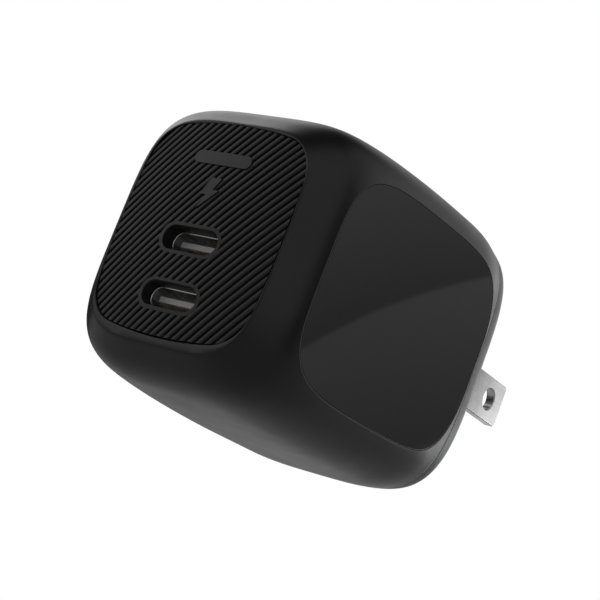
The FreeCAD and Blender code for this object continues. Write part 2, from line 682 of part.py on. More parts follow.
def power_chips():
    """Transistor, controller and output switches: separate packages on the floor board."""
    return Part.makeCompound([
        Part.makeBox(5.8, 6.0, 1.0, Vector(5.6, -23.6, TRAFO_Z)),
        Part.makeBox(4.0, 3.8, 0.9, Vector(-10.6, -18.4, TRAFO_Z)),
        Part.makeBox(5.2, 3.4, 1.2, Vector(-4.6, -18.2, TRAFO_Z)),
    ])


def output_inductors():
    return Part.makeCompound([Part.makeBox(6.4, 6.45, 5.0, Vector(x, -43.85, -4.4)) for x in (-7.4, 1.0)])


def heat_spreader_right():
    """Thin plate beside the boards with a foot turned in along its lower edge."""
    y0, y1 = SPREADER_SPAN_Y
    z0, z1 = SPREADER_SPAN_Z
    plate = box(SPREADER_X, SPREADER_X + SPREADER_THICK, y0, y1, z0, z1)
    foot = box(SPREADER_X - SPREADER_FOOT, SPREADER_X, y0, y1, z0, z0 + SPREADER_THICK)
    return joined([plate, foot])


def thermal_pad():
    """Soft pad between the spreader and the side of the transformer area."""
    y0, y1 = PAD_SPAN_Y
    z0, z1 = PAD_SPAN_Z
    return box(BOARD_HALF_W + PAD_GAP, SPREADER_X, y0, y1, z0, z1)


def build():
    prong = prong_right()
    body = body_form(0, RIM_Y - OVERRUN, SPLIT_Y)
    inlay = side_inlay(body)
    leaf = contact_leaf_right()
    lead = ac_lead_right()
    spreader = heat_spreader_right()
    parts = {
        "main_shell": main_shell(body),
        "rear_cap": rear_cap(),
        "front_panel": front_panel(),
        "panel_marks": panel_marks(),
        "side_panel_right": inlay,
        "side_panel_left": both_sides(inlay)[1],
        "prong_right": prong,
        "prong_left": both_sides(prong)[1],
        "prong_rotor": prong_rotor(),
        "pivot_pin": pivot_pin(),
        "pivot_retainer": pivot_retainer(),
        "detent_spring": detent_spring(),
        "contact_leaf_right": leaf,
        "contact_leaf_left": both_sides(leaf)[1],
        "ac_lead_right": lead,
        "ac_lead_left": both_sides(lead)[1],
        "port_board": port_board(),
        "floor_board": floor_board(),
        "input_board": input_board(),
        "insulating_sheet": insulating_sheet(),
        "transformer_core": transformer_core(),
        "transformer_bobbin": transformer_bobbin(),
        "transformer_winding": transformer_winding(),
        "bulk_capacitors": bulk_capacitors(),
        "output_capacitors": output_capacitors(),
        "output_inductors": output_inductors(),
        "choke_core": choke_ring(0),
        "choke_windings": choke_windings(),
        "x_capacitor": x_capacitor(),
        "fuse": fuse(),
        "bridge_rectifier": bridge_rectifier(),
        "power_chips": power_chips(),
        "heat_spreader_right": spreader,
        "heat_spreader_left": both_sides(spreader)[1],
        "thermal_pad": thermal_pad(),
    }
    for name, z in PORT_Z.items():
        parts["usb_shell_" + name] = usb_shell(z)
        parts["usb_tongue_" + name] = usb_tongue(z)
        parts["usb_contacts_" + name] = usb_contacts(z)
    return parts


def export(parts):
    os.makedirs("parts", exist_ok=True)
    for name, shape in parts.items():
        shape.exportStep("parts/" + name + ".step")
        print(name, len(shape.Solids), round(shape.Volume, 1), shape.isValid())


export(build())
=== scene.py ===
import json
import math

import bmesh
import bpy
import numpy as np
from mathutils import Matrix, Vector


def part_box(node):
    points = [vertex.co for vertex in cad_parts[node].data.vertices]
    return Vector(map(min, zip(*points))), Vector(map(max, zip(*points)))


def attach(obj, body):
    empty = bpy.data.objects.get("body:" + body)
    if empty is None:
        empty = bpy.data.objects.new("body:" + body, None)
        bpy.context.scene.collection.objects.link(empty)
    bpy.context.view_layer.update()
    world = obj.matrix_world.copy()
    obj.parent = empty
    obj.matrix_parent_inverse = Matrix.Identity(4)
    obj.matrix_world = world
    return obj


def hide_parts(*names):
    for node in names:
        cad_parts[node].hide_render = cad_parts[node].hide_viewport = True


# Wall charger with folding prongs, ribbed front panel and glossy side flats.
# Shapes are worked out in millimetres and handed to Blender in metres.
# +X right, +Y into the wall, +Z up; the origin is the middle of the plug on the wall face.

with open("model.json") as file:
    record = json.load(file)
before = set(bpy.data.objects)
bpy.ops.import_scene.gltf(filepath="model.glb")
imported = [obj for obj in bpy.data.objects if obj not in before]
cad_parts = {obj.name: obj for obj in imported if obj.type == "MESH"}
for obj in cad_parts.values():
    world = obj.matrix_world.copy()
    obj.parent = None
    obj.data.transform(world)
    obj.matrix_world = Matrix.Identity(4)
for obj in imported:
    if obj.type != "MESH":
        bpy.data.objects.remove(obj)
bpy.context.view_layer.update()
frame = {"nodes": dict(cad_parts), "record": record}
MM = 0.001


def node_box(name):
    """Lowest and highest corner of a CAD node, in millimetres."""
    lo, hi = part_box(name)
    return [c / MM for c in lo], [c / MM for c in hi]


# ---------- sizes read from the frame ----------
SHELL_LO, SHELL_HI = node_box("main_shell")
PANEL_LO, PANEL_HI = node_box("front_panel")
ROTOR_LO, ROTOR_HI = node_box("prong_rotor")
BLADE_LO, BLADE_HI = node_box("prong_right")
PIN_LO, PIN_HI = node_box("pivot_pin")
RIM_Y = SHELL_LO[1]
SPLIT_Y = SHELL_HI[1]
DEPTH = -RIM_Y
FLAT_X = node_box("side_panel_right")[1][0]
SEAT_Y = PANEL_HI[1]
PANEL_MID_Z = (PANEL_LO[2] + PANEL_HI[2]) / 2
PANEL_HALF_W = PANEL_HI[0]
PANEL_HALF_H = (PANEL_HI[2] - PANEL_LO[2]) / 2
PIVOT_Y = (ROTOR_LO[1] + ROTOR_HI[1]) / 2
PIVOT_Z = (ROTOR_LO[2] + ROTOR_HI[2]) / 2
ROTOR_R = (ROTOR_HI[2] - ROTOR_LO[2]) / 2
PORTS = {}
for port in ("upper", "lower"):
    port_lo, port_hi = node_box("usb_shell_" + port)
    PORTS[port] = (port_lo[2] + port_hi[2]) / 2
LIP_Y = port_lo[1]
USB_BACK_Y = port_hi[1]
USB_W = port_hi[0] - port_lo[0]
USB_H = port_hi[2] - port_lo[2]

# ---------- driving sizes that the frame's boxes don't give ----------
# (distance behind the front rim, half width, half height) of the body's outer form
STATIONS = [
    (0.0, 13.15, 14.75),
    (1.2, 14.45, 15.8),
    (2.6, 15.9, 17.0),
    (5.0, 17.1, 18.2),
    (8.5, 17.8, 18.85),
    (13.5, 18.15, 19.3),
    (20.0, 18.2, 19.65),
    (27.0, 18.2, 19.8),
    (34.0, 18.1, 19.8),
    (40.0, 17.4, 19.65),
    (43.0, 16.78, 19.2),
    (45.0, 16.35, 18.75),
    (47.5, 14.4, 17.95),
    (50.4, 12.0, 17.1),
    (52.9, 8.75, 16.0),
]
MID_Z_FRONT, MID_Z_BACK = -2.6, -1.25
POWER_FRONT, POWER_BACK = 4.2, 3.85
# walls and front rim
WALL = 2.0
CAP_WALL = 1.8
FRONT_WALL = 1.8
RIM_EDGE = [(0.0, 0.14), (0.06, 0.04)]   # (distance behind the rim, inset) of its rounding
SEAT_EDGE = 0.12                     # rounding where the panel's seat begins
SKIN_START = 0.25                    # distance behind the rim where the plain skin begins
SEAM_EDGE, SEAM_FALL = 0.06, 0.08    # rounding of both sides of the split: inwards, along Y
# side panels
INLAY_THICK = 0.8
INLAY_MARGIN = 0.1                   # strip of shell left round the panel
INLAY_GAP = 0.04
INLAY_EDGE = 0.1
INLAY_LIFT = 0.02                    # clearance behind the panel
SIDEWAYS = 0.9999                    # X share of the normal of a face in a side flat
# front panel: gap to its seat, middle and radius of its corners, dome, ribs
PANEL_GAP = 0.1
CORNER_X, CORNER_Z, CORNER_R = 7.3, 8.28, 5.2
DOME_X, DOME_Z = 0.0055, 0.0033
PITCH = 0.91
RIB_ANGLE = math.radians(52.0)
RIB_REACH = 21                       # ribs on each side of the middle one
# half of one rib's outline: (distance from the ridge's middle, depth)
RIB_PROFILE = [
    (0.0, 0.0), (0.235, 0.0), (0.264, 0.018), (0.28, 0.06), (0.292, 0.24), (0.33, 0.295), (0.455, 0.3)]
SLAB_REACH = 19.5                    # half size of the domed slabs before they are cut
SLAB_LEAST = 0.1                     # thinnest place of a slab
LINE_STEP = 0.65                     # spacing of a slab's lines where there are no ribs
# ports: opening in the front of the panel, wider hole behind it, smooth collar round it
OPENING_W, OPENING_H = 8.6, 3.0
HOLE_W, HOLE_H = 9.3, 3.5
HOLE_STEP = 0.15                     # how far in front of the receptacle the hole widens
COLLAR = 0.55
COLLAR_RISE, COLLAR_BASE = 0.015, 0.2
PORT_FACE_SINK = 0.08
PORT_LIP = [(-0.6, 0.84), (-0.02, 0.2), (0.06, 0.08), (0.2, 0.0)]   # (depth, growth) down the lip
USB_WALL, USB_LIP = 0.3, 0.1
# raised marks
MARK_RISE = 0.13
MARK_BASE = 1.1                      # how far in front of the seat the marks' solids end
BAR_W, BAR_H, BAR_RISE = 9.0, 1.7, 9.2
BOLT_RISE = 4.6
BOLT = [(-0.3, 2.0), (1.3, 2.0), (0.5, 0.4), (1.5, 0.4), (-0.9, -2.2), (-0.2, -0.3), (-1.2, -0.3)]
# prongs
NECK_W = 4.0                         # width of the root inside the rotor
SHOULDER_Y = 0.15                    # where the neck meets the full blade
TIP_CHAMFER = 0.4
BLADE_EDGE = 0.16
PRONG_HOLE_R, PRONG_HOLE_Y = 1.6, 11.9
HOLE_SINK, HOLE_PAST = 0.14, 0.5     # chamfer of the hole, and how far its tool reaches past it
ROOT_INSET, ROOT_SIDE, ROOT_OVERLAP = 0.02, 0.01, 0.6
BLADE_PIN_GAP = 0.4
ROOT_SHADE_SPAN = (2.0, 13.0)            # mm from the wall face over which painted shade at the root fades out to the full plating colour
# rear cap: prong slots and the wells round them, trough and room of the rotor, spring's pocket
CAP_START, CAP_END = 0.2, 0.3        # the plain skin keeps this far from the split and the back
BACK_INSET = 0.3
SLOT_GAP = 0.3
SLOT_END_Y = 5.0
WELL_WALL = 1.2
WELL_Y = -7.2
TROUGH_Y = -6.5
TROUGH_END = 0.3
TROUGH_WALL = 1.4
ROTOR_GAP = 0.2
WINDOW_HALF = 2.1
ROOM_DEPTH = 3.0                     # how far the rotor's cutting tools reach past the cap's faces
PIN_GAP, PIN_END = 0.05, 0.1
SPRING_HALF, SPRING_Y, SPRING_ROOM = 2.6, -1.6, 0.75
# how finely the shapes are drawn
SECTION_COUNT = 224                  # points of an outline
SHELL_RINGS, SHELL_INNER_RINGS = 96, 24
CAP_RINGS, CAP_INNER_RINGS = 52, 20
SMALL_ROUND = 40                     # points round a small circle
PROFILE_POINTS, SEARCH_POINTS, FLAT_POINTS = 600, 4000, 161
FLAT_SEARCH = (4.0, 45.0)            # the side flat starts and ends within these distances
CAP_CREASE, PANEL_CREASE = 30.0, 34.0    # degrees
PAST = 1.0                           # how far a cutting tool reaches past the faces it cuts
FILLET = [(0.0, 1.0), (0.134, 0.5), (0.5, 0.134), (1.0, 0.0)]   # (across, down) shares of a quarter round


# ---------- sizes worked out from those above ----------
BACK = DEPTH + SPLIT_Y               # distance of the split behind the rim
BACK_EDGE = [(DEPTH - 0.1, 0.02), (DEPTH - 0.02, 0.12)]
THROUGH_PANEL = (RIM_Y - 3, SEAT_Y + PAST)
SLOT_IN, SLOT_OUT = BLADE_LO[0] - SLOT_GAP, BLADE_HI[0] + SLOT_GAP
SLOT_TOP = PIVOT_Z + 30              # above the cap
TROUGH_R = ROTOR_R + ROTOR_GAP + TROUGH_WALL
PIN_R = PIN_HI[2] - PIVOT_Z
NECK_Z = (PIVOT_Z - NECK_W / 2, PIVOT_Z + NECK_W / 2)


# ---------- mesh tools ----------
def new_object(name, verts, faces):
    mesh = bpy.data.meshes.new(name)
    mesh.from_pydata([tuple(v) for v in verts], [], [tuple(f) for f in faces])
    obj = bpy.data.objects.new(name, mesh)
    bpy.context.scene.collection.objects.link(obj)
    return obj


def outward(obj):
    bm = bmesh.new()
    bm.from_mesh(obj.data)
    bmesh.ops.recalc_face_normals(bm, faces=bm.faces)
    bm.to_mesh(obj.data)
    bm.free()
    return obj


def solid_from_rings(name, rings):
    """Closed skin over rings with the same number of points, with a flat cap at each end."""
    count = len(rings[0])
    verts = np.concatenate([np.asarray(r, float) for r in rings])
    faces = []
    for k in range(len(rings) - 1):
        low = k * count
        for i in range(count):
            j = (i + 1) % count
            faces.append((low + i, low + j, low + count + j, low + count + i))
    faces.append(range(count))
    last = (len(rings) - 1) * count
    faces.append(range(last + count - 1, last - 1, -1))
    return outward(new_object(name, verts, faces))


def block(name, x0, x1, y0, y1, z0, z1):
    low = [(x0, y0, z0), (x1, y0, z0), (x1, y1, z0), (x0, y1, z0)]
    high = [(x, y, z1) for x, y, _ in low]
    return solid_from_rings(name, [low, high])


def bake(obj):
    """Apply the object's modifiers to its mesh."""
    graph = bpy.context.evaluated_depsgraph_get()
    made = bpy.data.meshes.new_from_object(obj.evaluated_get(graph))
    obj.modifiers.clear()
    obj.data = made
    return obj


def combine(obj, tool, operation):
    """Boolean of two closed solids; the tool is used up."""
    modifier = obj.modifiers.new("combine", "BOOLEAN")
    modifier.operation = operation
    modifier.solver = "EXACT"
    modifier.object = tool
    bake(obj)
    bpy.data.objects.remove(tool)
    return obj


def cut(obj, *tools):
    for tool in tools:
        combine(obj, tool, "DIFFERENCE")
    return obj


def crease_flats(obj):
    """Crisp border round the faces that look straight to one side."""
    bm = bmesh.new()
    bm.from_mesh(obj.data)
    bm.normal_update()
    for edge in bm.edges:
        sideways = [abs(face.normal.x) > SIDEWAYS for face in edge.link_faces]
        if any(sideways) and not all(sideways):
            edge.smooth = False
    bm.to_mesh(obj.data)
    bm.free()


def shaded(obj, angle=38.0, flats=False):
    """Smooth shading with creases at more than the angle and, if asked, round the side flats."""
    bm = bmesh.new()
    bm.from_mesh(obj.data)
    bmesh.ops.remove_doubles(bm, verts=bm.verts, dist=1e-5)
    bmesh.ops.dissolve_degenerate(bm, edges=bm.edges, dist=1e-5)
    bm.to_mesh(obj.data)
    bm.free()
    obj.data.shade_smooth()
    obj.data.set_sharp_from_angle(angle=math.radians(angle))
    if flats:
        crease_flats(obj)
    weighted = obj.modifiers.new("weighted", "WEIGHTED_NORMAL")
    weighted.keep_sharp = True
    return obj


def place(obj, body, slot, nodes):
    """Scale a finished piece to metres, give it its finish and let it stand for its CAD nodes."""
    obj.data.transform(Matrix.Scale(MM, 4))
    obj.data.update()
    obj.data.materials.clear()
    obj.data.materials.append(FINISHES[slot])
    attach(obj, body)
    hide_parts(*nodes)
    return obj


# ---------- outlines ----------
def spline(xs, ys):
    """Natural cubic spline through the points, as a function."""
    xs, ys = np.array(xs, float), np.array(ys, float)
    n = len(xs)
    h = np.diff(xs)
    a, b = np.eye(n), np.zeros(n)
    for i in range(1, n - 1):
        a[i, i - 1:i + 2] = h[i - 1], 2 * (h[i - 1] + h[i]), h[i]
        b[i] = 6 * ((ys[i + 1] - ys[i]) / h[i] - (ys[i] - ys[i - 1]) / h[i - 1])
    m = np.linalg.solve(a, b)

    def value(x):
        i = min(max(int(np.searchsorted(xs, x)) - 1, 0), n - 2)
        t = x - xs[i]
        slope = (ys[i + 1] - ys[i]) / h[i] - h[i] * (2 * m[i] + m[i + 1]) / 6
        return ys[i] + t * slope + t * t * m[i] / 2 + t ** 3 * (m[i + 1] - m[i]) / (6 * h[i])

    return value


half_width = spline([s[0] for s in STATIONS], [s[1] for s in STATIONS])
half_height = spline([s[0] for s in STATIONS], [s[2] for s in STATIONS])


def mid_z(distance):
    return MID_Z_FRONT + (MID_Z_BACK - MID_Z_FRONT) * distance / DEPTH


def power(distance):
    return POWER_FRONT + (POWER_BACK - POWER_FRONT) * distance / DEPTH


def section(distance, inset=0.0, y=None, limit=None):
    """The body's rounded-square outline at a distance behind the rim."""
    half_w, half_h, p = half_width(distance) - inset, half_height(distance) - inset, power(distance)
    turn = np.arange(SECTION_COUNT) * 2 * math.pi / SECTION_COUNT
    c, s = np.cos(turn), np.sin(turn)
    reach = (np.abs(c / half_w) ** p + np.abs(s / half_h) ** p) ** (-1 / p)
    x = reach * c
    if limit is not None:
        x = np.clip(x, -limit, limit)
    y = RIM_Y + distance if y is None else y
    return np.stack([x, np.full_like(x, y), mid_z(distance) + reach * s], 1)


def steps(start, end, count):
    """Distances whose spacing is even along the body's curved profile."""
    fine = np.linspace(start, end, PROFILE_POINTS)
    width = np.array([half_width(d) for d in fine])
    length = np.concatenate([[0], np.cumsum(np.hypot(np.diff(fine), np.diff(width)))])
    return np.interp(np.linspace(0, length[-1], count), length, fine)


def bow_centre(reach, across, root_shade_fade, corner_r):
    """Centre of the bow that passes reach from the middle and touches the corner circle."""
    gap = reach - across
    radius = (gap ** 2 + root_shade_fade ** 2 - corner_r ** 2) / (2 * (gap - corner_r))
    return reach - radius, radius


def bowed(grow, y):
    """The panel's outline: bowed sides joined by tangent corner arcs."""
    side, side_r = bow_centre(PANEL_HALF_W + grow, CORNER_X, CORNER_Z, CORNER_R + grow)
    crown, crown_r = bow_centre(PANEL_HALF_H + grow, CORNER_Z, CORNER_X, CORNER_R + grow)
    side_turn = math.atan2(CORNER_Z, CORNER_X - side)
    crown_turn = math.atan2(CORNER_Z - crown, CORNER_X)
    side_end = math.atan2(side_r * math.sin(side_turn), side + side_r * math.cos(side_turn))
    crown_end = math.atan2(crown + crown_r * math.sin(crown_turn), crown_r * math.cos(crown_turn))
    points = []
    for i in range(SECTION_COUNT):
        turn = i * 2 * math.pi / SECTION_COUNT
        c, s = math.cos(turn), math.sin(turn)
        first = math.atan2(abs(s), abs(c))
        if first < side_end:
            cx, cz, r = side, 0.0, side_r
        elif first < crown_end:
            cx, cz, r = CORNER_X, CORNER_Z, CORNER_R + grow
        else:
            cx, cz, r = 0.0, crown, crown_r
        root_shade_fade = abs(c) * cx + abs(s) * cz
        reach = root_shade_fade + math.sqrt(root_shade_fade ** 2 - cx ** 2 - cz ** 2 + r ** 2)
        points.append((reach * c, y, PANEL_MID_Z + reach * s))
    return np.array(points)


def stadium(width, height, y, z, count=64):
    """Bar outline with round ends."""
    r = height / 2
    reach = width / 2 - r
    half = count // 2
    turns = [math.pi * (i / (half - 1) - 0.5) for i in range(half)]
    right = [(reach + r * math.cos(t), y, z + r * math.sin(t)) for t in turns]
    left = [(-reach - r * math.cos(t), y, z - r * math.sin(t)) for t in turns]
    return np.array(right + left)


def drawn_in(loop, amount):
    """A closed loop in the YZ plane moved inwards by an amount."""
    ahead, behind = np.roll(loop, -1, 0), np.roll(loop, 1, 0)
    a, b = ahead - loop, loop - behind
    a /= np.linalg.norm(a, axis=1)[:, None]
    b /= np.linalg.norm(b, axis=1)[:, None]
    sign = np.sign(np.sum(loop[:, 0] * ahead[:, 1] - ahead[:, 0] * loop[:, 1]))
    na = np.stack([-a[:, 1], a[:, 0]], 1) * sign
    nb = np.stack([-b[:, 1], b[:, 0]], 1) * sign
    mitre = na + nb
    mitre /= (1 + np.sum(na * nb, axis=1))[:, None]
    return loop + mitre * amount


def flat_loop(count=240):
    """(y, z) outline of the flat that the plane X = FLAT_X cuts from the outer form."""
    fine = np.linspace(*FLAT_SEARCH, SEARCH_POINTS)
    inside = fine[np.array([half_width(d) > FLAT_X for d in fine])]
    first, last = inside[0], inside[-1]
    share = np.linspace(-1, 1, FLAT_POINTS)
    centre, reach = (first + last) / 2, (last - first) / 2
    root_shade_fade = centre + reach * (1 - (1 - np.abs(share)) ** 4) * np.sign(share)
    top, bottom = [], []
    for d in root_shade_fade:
        p = power(d)
        rest = max(1 - (FLAT_X / max(half_width(d), FLAT_X)) ** p, 0.0)
        rise = half_height(d) * rest ** (1 / p)
        top.append((RIM_Y + d, mid_z(d) + rise))
        bottom.append((RIM_Y + d, mid_z(d) - rise))
    loop = np.array(top + bottom[::-1][1:-1])
    closed = np.vstack([loop, loop[:1]])
    length = np.concatenate([[0], np.cumsum(np.linalg.norm(np.diff(closed, axis=0), axis=1))])
    even = np.linspace(0, length[-1], count, endpoint=False)
    return np.stack([np.interp(even, length, closed[:, k]) for k in (0, 1)], 1)


def panel_y(x, z, rise=0.0):
    """The domed front of the panel."""
    return PANEL_LO[1] + DOME_X * x ** 2 + DOME_Z * (z - PANEL_MID_Z) ** 2 - rise


# ---------- housing ----------
def shell_body():
    """Outer skin, rounded rim, panel seat and hollow as one skin; then ports, flats and inlay seats."""
    rings = [bowed(PANEL_GAP, SEAT_Y)]
    rings += [bowed(PANEL_GAP + SEAT_EDGE * a, RIM_Y + SEAT_EDGE * d) for a, d in FILLET]
    rings += [section(distance, inset) for distance, inset in RIM_EDGE]
    rings += [section(d) for d in steps(SKIN_START, BACK - SEAM_FALL, SHELL_RINGS)]
    rings.append(section(BACK, SEAM_EDGE))
    start = SEAT_Y + FRONT_WALL - RIM_Y
    rings += [section(d, WALL, limit=FLAT_X - WALL) for d in np.linspace(BACK, start, SHELL_INNER_RINGS)]
    shell = solid_from_rings("shell_body", rings)
    for z in PORTS.values():
        tool = [stadium(HOLE_W, HOLE_H, y, z) for y in (SEAT_Y - PAST, SEAT_Y + FRONT_WALL + PAST)]
        cut(shell, solid_from_rings("tool", tool))
    bm = bmesh.new()
    bm.from_mesh(shell.data)
    for side in (-1, 1):
        geometry = bm.verts[:] + bm.edges[:] + bm.faces[:]
        made = bmesh.ops.bisect_plane(
            bm, geom=geometry, plane_co=(side * FLAT_X, 0, 0), plane_no=(side, 0, 0), clear_outer=True)
        edges = [e for e in made["geom_cut"] if isinstance(e, bmesh.types.BMEdge)]
        bmesh.ops.holes_fill(bm, edges=edges, sides=0)
    bm.to_mesh(shell.data)
    bm.free()
    loop = drawn_in(flat_loop(), INLAY_MARGIN)
    for side in (-1, 1):
        tool = [[(side * x, y, z) for y, z in loop] for x in (FLAT_X - INLAY_THICK, FLAT_X + PAST)]
        cut(shell, solid_from_rings("tool", tool))
    return shaded(outward(shell), flats=True)


def gloss_panel(name, side):
    """Polished side panel with a small rounded edge."""
    loop = drawn_in(flat_loop(), INLAY_MARGIN + INLAY_GAP)
    rings = [[(side * (FLAT_X - INLAY_THICK + INLAY_LIFT), y, z) for y, z in loop]]
    for across, down in FILLET:
        edge = drawn_in(loop, INLAY_EDGE * across)
        rings.append([(side * (FLAT_X - INLAY_EDGE * down), y, z) for y, z in edge])
    return shaded(solid_from_rings(name, rings))


def circle_x(radius, x, y, z, count=72):
    """Round outline that looks along X."""
    turns = np.arange(count) * 2 * math.pi / count
    return [(x, y + radius * math.cos(t), z + radius * math.sin(t)) for t in turns]


def cylinder_x(name, radius, x0, x1, y, z, count=72):
    return solid_from_rings(name, [circle_x(radius, x, y, z, count) for x in (x0, x1)])


def both_sides(low, high):
    """The same stretch of X on the left and on the right."""
    return [(-high, -low), (low, high)]


def cap_hollow():
    """Space inside the rear cap, less the walls of the rotor's trough and of the prongs' wells."""
    rings = [section(d, WALL, limit=FLAT_X - WALL)
             for d in np.linspace(BACK - PAST, DEPTH - CAP_WALL, CAP_INNER_RINGS)]
    hollow = solid_from_rings("hollow", rings)
    x0, x1 = PIN_LO[0] - TROUGH_END, PIN_HI[0] + TROUGH_END
    cut(hollow, block("trough", x0, x1, TROUGH_Y, PAST, PIVOT_Z - TROUGH_R, PIVOT_Z + TROUGH_R))
    for low, high in both_sides(SLOT_IN - WELL_WALL, SLOT_OUT + WELL_WALL):
        cut(hollow, block("well", low, high, WELL_Y - WELL_WALL, PAST, PIVOT_Z, SLOT_TOP))
    return hollow


def rotor_room():
    """Tools that clear the rotor: its bore, way in and window, the pin's bore, the spring's pocket."""
    bore_r, half = ROTOR_R + ROTOR_GAP, ROTOR_HI[0] + ROTOR_GAP
    low, high = PIVOT_Z - bore_r, PIVOT_Z + bore_r
    x0, x1 = PIN_LO[0] - PIN_END, PIN_HI[0] + PIN_END
    spring_z = PIVOT_Z - ROTOR_R - SPRING_ROOM
    inside = WELL_Y - ROOM_DEPTH
    return [
        cylinder_x("bore", bore_r, -half, half, PIVOT_Y, PIVOT_Z),
        block("way_in", -half, half, inside, PIVOT_Y, low, high),
        block("window", -half, half, PIVOT_Y, ROOM_DEPTH, PIVOT_Z - WINDOW_HALF, PIVOT_Z + WINDOW_HALF),
        cylinder_x("pin_bore", PIN_R + PIN_GAP, x0, x1, PIVOT_Y, PIVOT_Z, SMALL_ROUND),
        block("spring_pocket", -SPRING_HALF, SPRING_HALF, inside, SPRING_Y, spring_z, PIVOT_Z),
    ]


def cap_body():
    """Rear cap: rounded outside, hollow inside, with prong slots, rotor bore and its window."""
    rings = [section(BACK, SEAM_EDGE, limit=FLAT_X - SEAM_EDGE), section(BACK + SEAM_FALL, limit=FLAT_X)]
    rings += [section(d, limit=FLAT_X) for d in steps(BACK + CAP_START, DEPTH - CAP_END, CAP_RINGS)]
    rings += [section(distance, inset) for distance, inset in BACK_EDGE]
    cap = solid_from_rings("cap_body", rings + [section(DEPTH, BACK_INSET, 0.0)])
    cut(cap, cap_hollow())
    for low, high in both_sides(SLOT_IN, SLOT_OUT):
        cut(cap, block("slot", low, high, WELL_Y, SLOT_END_Y, PIVOT_Z, SLOT_TOP))
    cut(cap, *rotor_room())
    return shaded(outward(cap), CAP_CREASE, flats=True)


# ---------- front panel ----------
def dome_slab(name, across, rise, back_y):
    """Slab whose front follows the dome; across holds (place, depth) of the lines along the ribs."""
    root_shade_fade = np.arange(-SLAB_REACH, SLAB_REACH + LINE_STEP, LINE_STEP)
    c, s = math.cos(RIB_ANGLE), math.sin(RIB_ANGLE)
    verts = []
    for v, depth in across:
        for u in root_shade_fade:
            x, z = u * c - v * s, u * s + v * c
            y = min(panel_y(x, z + PANEL_MID_Z, rise) + depth, back_y - SLAB_LEAST)
            verts.append((x, y, z + PANEL_MID_Z))
    n, m = len(across), len(root_shade_fade)
    faces = [(i * m + j, i * m + j + 1, (i + 1) * m + j + 1, (i + 1) * m + j)
             for i in range(n - 1) for j in range(m - 1)]
    border = list(range(m)) + [i * m + m - 1 for i in range(1, n)]
    border += [(n - 1) * m + j for j in range(m - 2, -1, -1)] + [i * m for i in range(n - 2, 0, -1)]
    first = len(verts)
    verts += [(verts[b][0], back_y, verts[b][2]) for b in border]
    count = len(border)
    for i in range(count):
        j = (i + 1) % count
        faces.append((border[i], border[j], first + j, first + i))
    faces.append(range(first + count - 1, first - 1, -1))
    return outward(new_object(name, verts, faces))


def rib_lines():
    """(place across the ribs, depth) over the whole panel."""
    one = [(-v, d) for v, d in RIB_PROFILE[::-1]][1:-1] + RIB_PROFILE
    lines = []
    for i in range(-RIB_REACH, RIB_REACH + 1):
        lines += [(i * PITCH + v, d) for v, d in one]
    return lines


def even_lines():
    return [(v, 0.0) for v in np.arange(-SLAB_REACH, SLAB_REACH + LINE_STEP, LINE_STEP)]


def ribbed_panel():
    """Ribbed dome cut to the panel's outline, with a smooth collar round each port."""
    panel = dome_slab("ribbed_panel", rib_lines(), 0.0, SEAT_Y)
    combine(panel, solid_from_rings("outline", [bowed(0, y) for y in THROUGH_PANEL]), "INTERSECT")
    width, height = OPENING_W + 2 * COLLAR, OPENING_H + 2 * COLLAR
    for z in PORTS.values():
        collar = dome_slab("collar", even_lines(), COLLAR_RISE, SEAT_Y - COLLAR_BASE)
        ring = [stadium(width, height, y, z) for y in THROUGH_PANEL]
        combine(collar, solid_from_rings("ring", ring), "INTERSECT")
        combine(panel, collar, "UNION")
        face_y = panel_y(0, z) + PORT_FACE_SINK
        step_y = LIP_Y - HOLE_STEP
        hole = [stadium(OPENING_W + g, OPENING_H + g, face_y + depth, z) for depth, g in PORT_LIP]
        hole.append(stadium(OPENING_W, OPENING_H, step_y, z))
        hole += [stadium(HOLE_W, HOLE_H, y, z) for y in (step_y, SEAT_Y + PAST)]
        cut(panel, solid_from_rings("hole", hole))
    return shaded(outward(panel), PANEL_CREASE)


def bar_outline(y):
    return stadium(BAR_W, BAR_H, y, PANEL_MID_Z + BAR_RISE)


def bolt_outline(y):
    return [(x, y, PANEL_MID_Z + BOLT_RISE + z) for x, z in BOLT]


def raised_marks():
    """A plain bar and a lightning bolt, raised from the ribs."""
    pieces = []
    for outline in (bar_outline, bolt_outline):
        slab = dome_slab("raised_marks", even_lines(), MARK_RISE, SEAT_Y - MARK_BASE)
        ends = [outline(y) for y in (THROUGH_PANEL[0], SEAT_Y)]
        pieces.append(combine(slab, solid_from_rings("outline", ends), "INTERSECT"))
    bar, bolt = pieces
    return shaded(combine(bar, bolt, "UNION"))


# ---------- ports ----------
def usb_shell(name, z):
    """Drawn steel sleeve with a rounded lip, closed at the back."""
    def ring(inset, y):
        return stadium(USB_W - 2 * inset, USB_H - 2 * inset, y, z)

    rings = [ring(0.0, USB_BACK_Y), ring(0.0, LIP_Y + USB_LIP)]
    rings += [ring(USB_LIP * a, LIP_Y + USB_LIP * d) for a, d in FILLET[1:]]
    rings += [ring(USB_WALL - USB_LIP * a, LIP_Y + USB_LIP * d) for a, d in FILLET[::-1]]
    rings.append(ring(USB_WALL, USB_BACK_Y - USB_WALL))
    return shaded(solid_from_rings(name, rings))


# ---------- prongs ----------
def blade_loop():
    """(y, z) outline of a blade and of its narrow neck."""
    half, tip = BLADE_HI[2], BLADE_HI[1]
    tip_start, corner = tip - TIP_CHAMFER, half - TIP_CHAMFER
    low, high = NECK_Z
    lower = [(PIVOT_Y, low), (SHOULDER_Y, low), (SHOULDER_Y, -half), (tip_start, -half), (tip, -corner)]
    upper = [(tip, corner), (tip_start, half), (SHOULDER_Y, half), (SHOULDER_Y, high), (PIVOT_Y, high)]
    return np.array(lower + upper)


